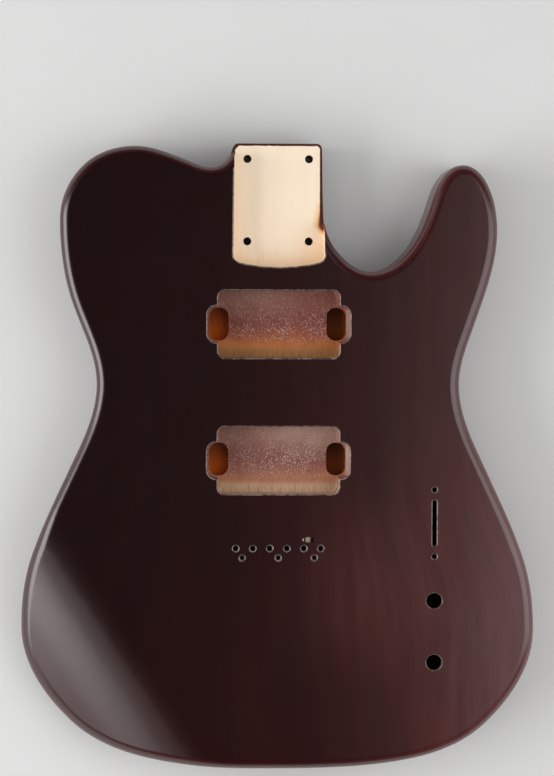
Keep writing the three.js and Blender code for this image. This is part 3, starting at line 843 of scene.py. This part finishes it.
route = {
    # width, length and corner
    "main": (74.5, 41.3, 4.2),
    "ears": (87.6, 22.2, 5.2),
    "depth": 19,
    "legInner": 30.4,
    "legOuter": 42.3,
    "legLength": 20.4,
    "legDepth": 27,
    "legFlat": 0.4,  # the leg's corners are this much less than half round
    "floorRound": 1,
    "lip": 0.8,
    "neckFromHeel": 35.1,
    "bridgeFromHeel": 118.8,
}
neckRouteY = pocket["heelY"] - route["neckFromHeel"]
bridgeRouteY = pocket["heelY"] - route["bridgeFromHeel"]
routeFloor = frontZ - route["depth"]


def routeCutter(y):
    cutter, ears = [
        roundBlock(name, 0, y, *route[size], routeFloor, frontTop, route["floorRound"])
        for name, size in (("routeCutter", "main"), ("ears", "ears"))
    ]
    combine(cutter, ears, "UNION")
    width = route["legOuter"] - route["legInner"]
    size = (width, route["legLength"], width / 2 - route["legFlat"])
    for side in (-1, 1):
        x = side * (route["legOuter"] + route["legInner"]) / 2
        leg = roundBlock("leg", x, y, *size, frontZ - route["legDepth"], frontTop, route["floorRound"])
        combine(cutter, leg, "UNION")
    return cutter


def score(piece, heights):
    # a seam across each row of holes, so that no flat face has to run round one
    openMesh(piece)
    for y in heights:
        sliceAt((0, y * mm, 0), (0, 1, 0))
    closeMesh()


score(blank, [neckRouteY, bridgeRouteY])
neckRoute = routeCutter(neckRouteY)
bridgeRoute = copied(neckRoute, "bridgeRoute", (0, bridgeRouteY - neckRouteY, 0))
giveMaterial(neckRoute, routeWood("neckRouteWood", 0, neckRouteY, routeFloor))
giveMaterial(bridgeRoute, routeWood("bridgeRouteWood", 1, bridgeRouteY, routeFloor))
combine(blank, joined([neckRoute, bridgeRoute]))
print("pickup routes cut")


# Drilled holes in the front: strings, bridge, ground wire, pots and switch

bridge = {
    "stringsFromHeel": 172.9,
    "stringSpread": 52.4,
    "strings": 6,
    "stringHole": 3.2,
    "ferrule": 8,
    "ferruleDepth": 10,
    "screwsFromHeel": 178.7,
    "screwSpacing": 22.225,
    "screwHole": 2.6,
    "screwDepth": 16,
    "rim": 0.8,
    "screwRim": 1.05,
    "groundHole": 3.3,
    "groundFromStrings": 5.4,
    "groundAcross": 18.9,
    "groundSlope": 23.7,
}
controls = {
    "across": 0.608,
    "lowerPot": -0.6575,
    "potSpacing": 38.1,
    "potHole": 9.6,
    "potLip": 0.5,
    "switchFromPot": 48,
    "slotLength": 28.3,
    "slotWidth": 2.6,
    "slotFlat": 0.01,  # the slot's corners are this much less than half round
    "slotLip": 0.65,
    "screwSpacing": 41.2,
    "screwHole": 3.1,
    "screwLip": 0.65,
    "upperRadius": 18,
    "lowerRadius": 24,
    "upperFromPot": 58.4,
    "lowerFromPot": 35.6,
    "jackBore": 22.2,
    "jackFromPot": 8.9,
}
stringY = pocket["heelY"] - bridge["stringsFromHeel"]
bridgeScrewY = pocket["heelY"] - bridge["screwsFromHeel"]
groundY = stringY + bridge["groundFromStrings"]
controlX = controls["across"] * halfWidth
lowerPotY = controls["lowerPot"] * halfLength
upperPotY = lowerPotY + controls["potSpacing"]
switchY = upperPotY + controls["switchFromPot"]
upperEndY = upperPotY + controls["upperFromPot"]
lowerEndY = upperPotY - controls["lowerFromPot"]
switchScrewY = switchY - controls["screwSpacing"] / 2
boltY = halfLength - pocket["boltsFromEnd"]
rimAbove = 0.004  # a rim ends this far above the face
rimSteps = 3


def rimmed(name, x, y, diameter, bottom, rim, sides=32):
    # a hole with a countersunk rim, rounded over in steps
    radius = diameter / 2
    top = frontZ + rimAbove
    rings = [(radius, bottom), (radius, top - rim)]
    for i in range(1, rimSteps + 1):
        turn = radians(90 / rimSteps * i)
        rings.append((radius + rim * (1 - cos(turn)), top - rim * (1 - sin(turn))))
    rings.append((radius + rim, frontTop))
    return turned(name, x, y, rings, sides)


def drilledHoles():
    pitch = bridge["stringSpread"] / (bridge["strings"] - 1)
    firstX = -bridge["stringSpread"] / 2
    ferrule, depth = bridge["ferrule"] / 2, bridge["ferruleDepth"]
    first = rimmed("stringHole", firstX, stringY, bridge["stringHole"], depth - 2, bridge["rim"])
    combine(first, turned("ferruleBore", firstX, stringY, [(ferrule, -past), (ferrule, depth)], 48), "UNION")
    holes = repeated(first, [(pitch * i, 0, 0) for i in range(1, bridge["strings"])])
    across, depth = bridge["screwSpacing"], frontZ - bridge["screwDepth"]
    first = rimmed("bridgeScrewHole", -across, bridgeScrewY, bridge["screwHole"], depth, bridge["screwRim"])
    holes += repeated(first, [(across * i, 0, 0) for i in (1, 2)])
    slope = tan(radians(bridge["groundSlope"]))
    mouthX = bridge["groundAcross"]
    mouth = (mouthX - past, groundY, frontZ + past * slope)
    end = (controlX, groundY, frontZ - (controlX - mouthX) * slope)
    ground = drilled("groundHole", mouth, end, bridge["groundHole"])
    giveMaterial(ground, groundHoleLightAndShade("groundHoleLightAndShade", mouthX))
    below = body["frontSeam"] - past
    first = rimmed("potHole", controlX, lowerPotY, controls["potHole"], below, controls["potLip"], 64)
    holes += repeated(first, [(0, controls["potSpacing"], 0)])
    size = controls["screwHole"], below, controls["screwLip"]
    first = rimmed("switchScrewHole", controlX, switchScrewY, *size)
    holes += repeated(first, [(0, controls["screwSpacing"], 0)])
    width = controls["slotWidth"]
    size = width, controls["slotLength"], width / 2 - controls["slotFlat"]
    holes.append(roundBlock("switchSlot", controlX, switchY, *size, below, frontTop))
    across, along, radius = pocket["boltsAcross"], -pocket["boltsAlong"], pocket["boltHole"] / 2
    first = turned("boltHole", -across / 2, boltY, [(radius, -past), (radius, frontZ)], 40)
    bolts = repeated(first, [(0, along, 0), (across, along, 0), (across, 0, 0)])
    # the drilled walls are dark with painted shade; the bolt holes stay bare wood
    for hole in holes + bolts:
        giveMaterial(hole, insideWood if hole in bolts else shadedHoleWood)
    return joined(holes + bolts + [ground])


score(blank, [groundY, stringY, bridgeScrewY, switchScrewY + controls["screwSpacing"], switchY, switchScrewY])
score(blank, [upperPotY, lowerPotY, boltY, boltY - pocket["boltsAlong"]])
combine(blank, drilledHoles())
print("holes drilled:", len(blank.data.vertices), "vertices")


def roundLips(piece, lip, inside):
    # rounds the front edge of what is cut straight down, in rubbed lacquer that is pale as a painted
    # highlight
    def isLip(edge):
        if len(edge.link_faces) != 2 or any(abs(v.co.z - frontZ * mm) > tiny for v in edge.verts):
            return False
        tilts = sorted(abs(face.normal.z) for face in edge.link_faces)
        middle = (edge.verts[0].co + edge.verts[1].co) / 2 / mm
        return tilts[0] < 0.05 and tilts[1] > 0.999 and inside(middle)

    openMesh(piece)
    roundEdges(isLip, lip, 4, rubbed)
    closeMesh()


def nearSlot(place):
    return abs(place.x - controlX) < 6 and abs(place.y - switchY) < 18


def rimsRubbedAndHighlit(piece):
    # the lacquer runs thin over each countersunk rim, and the rim is painted pale as a highlight
    for face in piece.data.polygons:
        low = min(piece.data.vertices[i].co.z for i in face.vertices)
        name = piece.data.materials[face.material_index].name
        if name == "shadedHoleWood" and face.normal.z > 0.05 and low > (frontZ - 1.5) * mm:
            face.material_index = rubbed


# rubbed lacquer for the lips and rims, partly wear and partly painted highlight
blank.data.materials.append(rubbedEdgeAndHighlight)
rubbed = len(blank.data.materials) - 1
roundLips(blank, controls["slotLip"], nearSlot)
roundLips(blank, route["lip"], lambda place: abs(place.x) < 60)
rimsRubbedAndHighlit(blank)
print("lips rounded")


# The four boards

def board(name, up, joint, across):
    # cuts away what lies up or down from the front seam and across from the joint
    piece = copied(blank, name)
    piece.data.materials.append(insideWood)
    glued = len(piece.data.materials) - 1
    openMesh(piece)
    for place, away in (((0, 0, body["frontSeam"]), (0, 0, up)), ((joint, 0, 0), (across, 0, 0))):
        place, away = Vector(place) * mm, Vector(away)
        sliceAt(place, away, use_fill=True, clear_outer=True)
        mesh = bmesh.from_edit_mesh(piece.data)
        for face in mesh.faces:
            onPlane = abs((face.calc_center_median() - place).dot(away)) < tiny
            if onPlane and face.normal.dot(away) > 0.999:
                face.material_index = glued
        bmesh.update_edit_mesh(piece.data)
    facesOut()
    pick("edges", lambda edge: len({face.material_index for face in edge.link_faces}) > 1)
    bpy.ops.mesh.mark_sharp()
    closeMesh()
    return piece


frontPlateBass = board("frontPlateBass", -1, 0, 1)
frontPlateTreble = board("frontPlateTreble", -1, 0, -1)
coreBass = board("coreBass", 1, body["coreSeam"], 1)
coreTreble = board("coreTreble", 1, body["coreSeam"], -1)
for core in (coreBass, coreTreble):
    for slot in core.material_slots:
        if slot.material == burgundyFront:
            slot.material = burgundyCore
bpy.data.objects.remove(blank)
print("boards parted")


# Chambers, control cavity, jack bore and wire channels in the core

chambers = {
    "blockHalf": 52,
    "back": 9.5,
    # share from the centre block to the widest rim, share along
    "bassUpper": [
        (0.02, 0.42), (0.02, 0.78), (0.12, 0.85), (0.33, 0.885), (0.52, 0.84),
        (0.59, 0.73), (0.55, 0.54), (0.45, 0.4), (0.29, 0.355), (0.1, 0.36),
    ],
    "bassLower": [
        (0.03, 0.22), (0.3, 0.26), (0.38, 0.19), (0.43, 0.06), (0.53, -0.07), (0.6, -0.2),
        (0.55, -0.33), (0.39, -0.47), (0.21, -0.63), (0.1, -0.71), (0.02, -0.67), (0.02, -0.2),
    ],
    "treble": [
        (0.03, 0.18), (0.02, 0.38), (0.1, 0.46), (0.3, 0.47), (0.44, 0.54), (0.5, 0.7),
        (0.58, 0.79), (0.645, 0.72), (0.6, 0.52), (0.48, 0.36), (0.37, 0.24), (0.25, 0.16),
    ],
}
channel = {"bore": 7.5, "height": 31, "across": 32}
cover = {
    "ledge": 8,
    "thickness": 2.3,
    "sink": 0.1,
    "gap": 0.4,
    "edge": 0.35,
    "colour": (0.013, 0.013, 0.014),
}
screw = {
    "shank": 2.9,
    "root": 2.3,
    "head": 6.2,
    "headDepth": 1.7,
    # how far in from the head's rim, how far up
    "headRim": [(0.25, 0), (0.07, 0.06), (0, 0.2)],
    "length": 12.7,
    "tip": 3,
    # share of the root, share of the tip still to come
    "tipShape": [(1, 1), (0.72, 0.6), (0.4, 0.25)],
    "point": 0.06,
    "seat": 0.15,
    "clearance": 0.3,
    "threadStart": 3,
    "threadHalf": 0.4,
    "turns": 6,
    "recessWidth": 0.75,
    "recessReach": 1.75,
    "recessDepth": 1.3,
    "recessFoot": 0.35,
    "colour": (0.62, 0.62, 0.6),
}


def smoothKnots(rows, side):
    block = chambers["blockHalf"]
    places = [Vector((side * (block + out * (halfWidth - block)), along * halfLength)) for out, along in rows]
    knots = []
    for i, place in enumerate(places):
        run = places[(i + 1) % len(places)] - places[i - 1]
        heading = degrees(atan2(run.y, run.x))
        knots.append((place.x, place.y, heading, heading))
    return knots


def cavityKnots(growth):
    # two round ends of unlike size and the lines that touch both
    upper = controls["upperRadius"] + growth
    lower = controls["lowerRadius"] + growth
    lean = degrees(asin((lower - upper) / (upperEndY - lowerEndY)))

    def onCircle(y, radius, angle):
        turn = radians(angle)
        return (controlX + radius * cos(turn), y + radius * sin(turn), angle + 90, angle + 90)

    high = [lean, 45 + lean / 2, 90, 135 - lean / 2, 180 - lean]
    low = [180 - lean, 225 - lean / 2, 270, 315 + lean / 2, 360 + lean]
    return [onCircle(upperEndY, upper, a) for a in high] + [onCircle(lowerEndY, lower, a) for a in low]


def screwPlaces():
    # in the middle of the ledge
    upper = controls["upperRadius"] + cover["ledge"] / 2
    lower = controls["lowerRadius"] + cover["ledge"] / 2
    return [
        (controlX, upperEndY + upper), (controlX + upper, upperEndY), (controlX + lower, lowerEndY),
        (controlX, lowerEndY - lower), (controlX - lower, lowerEndY), (controlX - upper, upperEndY),
    ]


def routed(core, tool):
    return combine(core, giveMaterial(tool, insideWood))


aboveSeam = body["frontSeam"] + past
for core, rows, side in ((coreBass, "bassUpper", -1), (coreBass, "bassLower", -1), (coreTreble, "treble", 1)):
    routed(core, raised("chamber", smoothKnots(chambers[rows], side), chambers["back"], aboveSeam))
recessDepth = cover["thickness"] + cover["sink"]
routed(coreTreble, raised("cavity", cavityKnots(0), -past, aboveSeam, 12))
routed(coreTreble, raised("recess", cavityKnots(cover["ledge"]), -past, recessDepth, 12))
firstX, firstY = screwPlaces()[0]
screwShifts = [(x - firstX, y - firstY, 0) for x, y in screwPlaces()[1:]]
pilotRadius = screw["shank"] / 2 + screw["clearance"]
pilotDepth = cover["sink"] + screw["length"] + screw["clearance"]
pilot = turned("pilot", firstX, firstY, [(pilotRadius, 1), (pilotRadius, pilotDepth)], 24)
routed(coreTreble, joined(repeated(pilot, screwShifts)))
jackY = lowerPotY + controls["jackFromPot"]
inner, outer = [(x, jackY, frontZ / 2) for x in (controlX, halfWidth + past)]
routed(coreTreble, drilled("jackBore", inner, outer, controls["jackBore"], 64))
half = route["main"][1] / 2
wireX, wireZ = channel["across"], channel["height"]
outOfNeck = (wireX, neckRouteY - half + past, wireZ)
intoBridge = (wireX, bridgeRouteY + half - past, wireZ)
outOfBridge = (wireX - past, bridgeRouteY - half + channel["bore"], wireZ)
intoCavity = (controlX, upperEndY - controls["upperRadius"], wireZ)
runs = ((outOfNeck, intoBridge), (outOfBridge, intoCavity))
routed(coreTreble, joined([drilled("wireChannel", *run, channel["bore"]) for run in runs]))
print("core routed")


# Cover plate over the control cavity

def coverPlateMade():
    low = cover["sink"]
    high = low + cover["thickness"]
    plate = raised("coverPlate", cavityKnots(cover["ledge"] - cover["gap"]), low, high, 16)
    openMesh(plate)
    roundEdges(isLevel, cover["edge"], 3)
    closeMesh()
    head = screw["head"] / 2 + screw["clearance"]
    shank = screw["shank"] / 2 + screw["clearance"]
    rings = [(head, low - past), (head, low), (shank, low + screw["headDepth"]), (shank, high + past)]
    hole = turned("screwHole", firstX, firstY, rings, 48)
    black = moulded("blackPlastic", cover["colour"])
    giveMaterial(plate, black)
    return combine(plate, giveMaterial(joined(repeated(hole, screwShifts)), black))


coverPlate = coverPlateMade()
print("cover plate made")


# Cover screws: one is modelled, five are copies

def threadMade(x, y, low, high):
    # a small triangle wound up the shank
    thread = started("thread", bpy.ops.mesh.primitive_circle_add, vertices=3, location=(0, 0, 0))
    openMesh(thread)
    mesh = bmesh.from_edit_mesh(thread.data)
    inside, crest, rise = screw["root"] / 2 - 0.1, screw["shank"] / 2 - 0.02, screw["threadHalf"]
    for vertex, (out, up) in zip(mesh.verts, [(inside, -rise), (crest, 0), (inside, rise)]):
        vertex.co = Vector((out, 0, up)) * mm
    bmesh.update_edit_mesh(thread.data)
    closeMesh()
    modified(
        thread, "SCREW", axis="Z", steps=20, render_steps=20, use_merge_vertices=False,
        iterations=screw["turns"], screw_offset=(high - low) / screw["turns"] * mm,
    )
    openMesh(thread)
    selectAll()
    bpy.ops.mesh.remove_doubles(threshold=tiny)
    bpy.ops.mesh.fill_holes(sides=3)
    bpy.ops.transform.translate(value=(x * mm, y * mm, low * mm))
    closeSolid()
    return thread


def coverScrewMade(x, y):
    low = cover["sink"] + screw["seat"]
    head, shank, root = screw["head"] / 2, screw["shank"] / 2, screw["root"] / 2
    neck = low + screw["headDepth"]
    threadLow = low + screw["threadStart"]
    end = low + screw["length"] - 2 * screw["seat"]
    rings = [(head - inwards, low + up) for inwards, up in screw["headRim"]]
    rings += [(shank + 0.05, neck), (shank, neck + 0.15), (shank, threadLow), (root, threadLow + 0.3)]
    rings += [(root * wide, end - screw["tip"] * left) for wide, left in screw["tipShape"]]
    rings.append((screw["point"], end))
    piece = turned("coverScrew1", x, y, rings)
    combine(piece, threadMade(x, y, threadLow + 0.2, end - screw["tip"] + 0.2), "UNION")
    wide, long = screw["recessWidth"], 2 * screw["recessReach"]
    foot = low + screw["recessDepth"]
    for size in ((long, wide), (wide, long)):
        slot = roundBlock("recess", x, y, *size, 0.12, low - 1, foot)
        openMesh(slot)
        pick("faces", lambda face: face.normal.z > 0.9)
        narrow = (screw["recessFoot"], screw["recessFoot"], 1)
        bpy.ops.transform.resize(value=narrow, center_override=(x * mm, y * mm, foot * mm))
        closeMesh()
        combine(piece, slot)
    return giveMaterial(piece, platedSteel("platedSteel", screw["colour"]))


coverScrews = [coverScrewMade(firstX, firstY)]
for i, shift in enumerate(screwShifts, 2):
    coverScrews.append(copied(coverScrews[0], f"coverScrew{i}", shift))
print("cover screws made")


# Smooth shading, with the flat faces kept flat

def finished(piece, angle=32):
    workOn(piece)
    bpy.ops.object.shade_smooth_by_angle(angle=radians(angle))
    modified(piece, "WEIGHTED_NORMAL", keep_sharp=True, weight=50)


standsFor = [
    (frontPlateBass, "top_bass", "front_plate"),
    (frontPlateTreble, "top_treble", "front_plate"),
    (coreBass, "core_bass", "core"),
    (coreTreble, "core_treble", "core"),
    (coverPlate, "control_cover", "cover"),
]
standsFor += [(piece, f"cover_screw_{i}", "screws") for i, piece in enumerate(coverScrews, 1)]
for piece, node, slot in standsFor:
    finished(piece)
    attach(piece, "root")
    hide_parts(node)
print("pieces finished:", sum(len(piece.data.polygons) for piece, _, _ in standsFor), "faces")


# Floor, lamps and camera

studio = {
    "floorColour": (0.68, 0.68, 0.675),
    "floorSize": 14,
    "floorDrop": 0.0006,
    "wall": (0.86, 0.87, 0.88),
    "wallFull": 0.1,
    "wallEnd": 0.34,
    "ambient": 0.58,
    "ceiling": 0.008,
}
lamps = {
    # direction from the body, distance and size in metres, brightness of the panel
    "bassPanel": ((-0.88, -0.124, 0.459), 1.63, (1.47, 1.03), 4.35),
    "treblePanel": ((0.716, -0.013, 0.698), 1.2, (0.71, 1.3), 1.71),
    "forearmPanel": ((-0.606, -0.565, 0.561), 1.45, (0.28, 0.31), 1.6),
}
view = {
    "from": (-85, 93.9, 1771.65),
    "at": (-1.13, 42.45, 44.45),
    "roll": 0.18,
    "lens": 130.77,
    "sensor": 36,
}


def floorMade():
    add = bpy.ops.mesh.primitive_plane_add
    floor = started("floor", add, size=studio["floorSize"], location=(0, 0, -studio["floorDrop"]))
    paper = Finish("floorPaper", 0.9)
    grain = paper.grain(0.02, 0.02, 0.02, 3)
    giveMaterial(floor, paper.link(colour=paper.scaled(studio["floorColour"], 0.985 + 0.03 * grain)))


def lampMade(name, towards, far, size, bright):
    target = Vector((0, 0, frontZ)) * mm
    place = target + Vector(towards).normalized() * far
    aim = (target - place).to_track_quat("-Z", "Y")
    light = started(name, bpy.ops.object.light_add, type="AREA", location=place, rotation=aim.to_euler())
    light.data.shape = "RECTANGLE"
    light.data.size, light.data.size_y = size
    light.data.energy = bright * pi * size[0] * size[1]


def worldMade():
    # the camera and the gloss see a dark ceiling over a pale wall; the rest gets a plain low light
    world = bpy.data.worlds.new("studioWorld")
    bpy.context.scene.world = world
    world.use_nodes = True
    sky = Nodes(world.node_tree)

    def glowing(colour, strength):
        return sky.add("Background", values={0: (*colour, 1), 1: strength})

    up = sky.split(sky.add("TexCoord", output="Generated"))[2]
    rise = sky.ease(up, studio["wallFull"], studio["wallEnd"])
    wall, ceiling = glowing(studio["wall"], 1), glowing((1, 1, 1), studio["ceiling"])
    seen = sky.add("MixShader", values={0: rise, 1: wall, 2: ceiling})
    path = sky.add("LightPath", output=None)
    rays = Signal(sky, path.outputs["Is Camera Ray"])
    for name in ("Is Glossy Ray", "Is Transmission Ray"):
        rays = sky.maths("MAXIMUM", rays, Signal(sky, path.outputs[name]))
    plain = glowing((1, 1, 1), studio["ambient"])
    final = sky.add("MixShader", values={0: rays, 1: plain, 2: seen})
    sky.tree.links.new(final.socket, sky.tree.nodes["World Output"].inputs["Surface"])


def cameraMade():
    place = Vector(view["from"]) * mm
    back = (place - Vector(view["at"]) * mm).normalized()
    right = Vector((0, 1, 0)).cross(back).normalized()
    turn = Matrix((right, back.cross(right), back)).transposed().to_euler()
    camera = started("camera", bpy.ops.object.camera_add, location=place, rotation=turn)
    camera.rotation_euler.rotate_axis("Z", radians(view["roll"]))
    camera.data.sensor_width = view["sensor"]
    camera.data.lens = view["lens"]
    bpy.context.scene.camera = camera


floorMade()
for name, lamp in lamps.items():
    lampMade(name, *lamp)
worldMade()
cameraMade()
bpy.context.scene.view_settings.view_transform = "Standard"
print("studio set")
